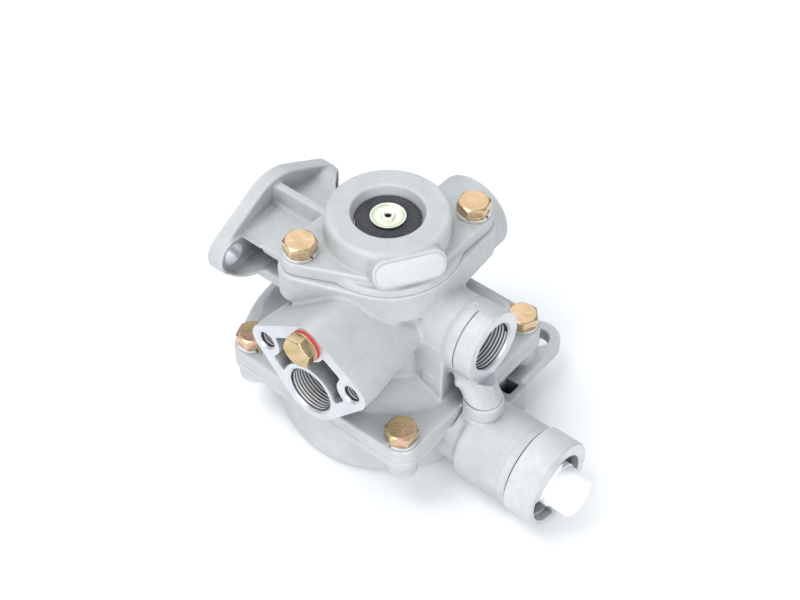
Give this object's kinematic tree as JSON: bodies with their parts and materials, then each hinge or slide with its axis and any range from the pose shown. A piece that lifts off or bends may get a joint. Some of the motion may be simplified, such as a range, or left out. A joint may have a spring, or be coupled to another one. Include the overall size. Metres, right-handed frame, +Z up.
{
  "type": "pneumatic relay valve",
  "caption": "Air brake relay valve with its exhaust on top: cast body with threaded ports, wall flange, bowl with relay piston, bolted exhaust cover and a push-in release valve.",
  "frame": {"origin": "centre of the flat underside of the bowl, on the axis of the piston and valves", "axes": "+Z is up along that axis towards the exhaust mouth, +X points out of the port above the release valve, +Y out of the round rear port, -X towards the wall flange"},
  "size_m": [0.183, 0.1305, 0.114],
  "materials": {
    "cast_alloy": "as cast, matt",
    "zinc_plating": "yellow passivated, satin",
    "spring_steel": "bright",
    "seal_rubber": "matt",
    "flap_rubber": "matt",
    "red_gasket": "matt",
    "white_plastic": "matt",
    "cup_steel": "bright plated",
    "plate_film": "matt",
    "turned_alloy": "turned",
    "turned_brass": "turned"
  },
  "bodies": {
    "housing": {"valve_body": "cast_alloy", "exhaust_cover": "cast_alloy", "bowl_cover": "cast_alloy", "bowl_bolts": "zinc_plating", "cover_bolts": "zinc_plating", "closing_plug": "zinc_plating", "bowl_spring_washers": "spring_steel", "cover_spring_washers": "spring_steel", "valve_spring": "spring_steel", "release_spring": "spring_steel", "sleeve_retaining_ring": "spring_steel", "bowl_seal_ring": "seal_rubber", "cover_seal_ring": "seal_rubber", "stem_seal_ring": "seal_rubber", "guide_seal_ring": "seal_rubber", "insert_seal_ring": "seal_rubber", "sleeve_seal_ring": "seal_rubber", "plunger_seal_ring": "seal_rubber", "exhaust_flap": "flap_rubber", "plug_seal_ring": "red_gasket", "flap_washer": "cup_steel", "flap_rivet": "cup_steel", "exhaust_grid": "turned_alloy", "rating_plate": "plate_film", "valve_guide": "turned_alloy", "release_sleeve": "turned_alloy"},
    "piston": {"relay_piston": "turned_alloy", "piston_seal_ring": "seal_rubber"},
    "valve": {"valve_insert": "turned_brass", "valve_rubber_ring": "seal_rubber"},
    "release": {"release_knob": "white_plastic", "release_plunger": "turned_brass"}
  },
  "joints": [
    {"name": "piston_slide", "type": "slide", "parent": "housing", "child": "piston", "axis": [0, 0, 1], "range_m": [0, 0.003], "stiffness_N_per_m": 600},
    {"name": "valve_slide", "type": "slide", "parent": "housing", "child": "valve", "axis": [0, 0, 1], "range_m": [0, 0.003], "deforming": ["valve_spring"]},
    {"name": "release_slide", "type": "slide", "parent": "housing", "child": "release", "axis": [-1, 0, 0], "range_m": [0, 0.005], "stiffness_N_per_m": 800, "springref_m": -0.002, "deforming": ["release_spring"]}
  ],
  "couplings": [
    {"joint": "valve_slide", "follows": "piston_slide", "ratio": 1}
  ]
}
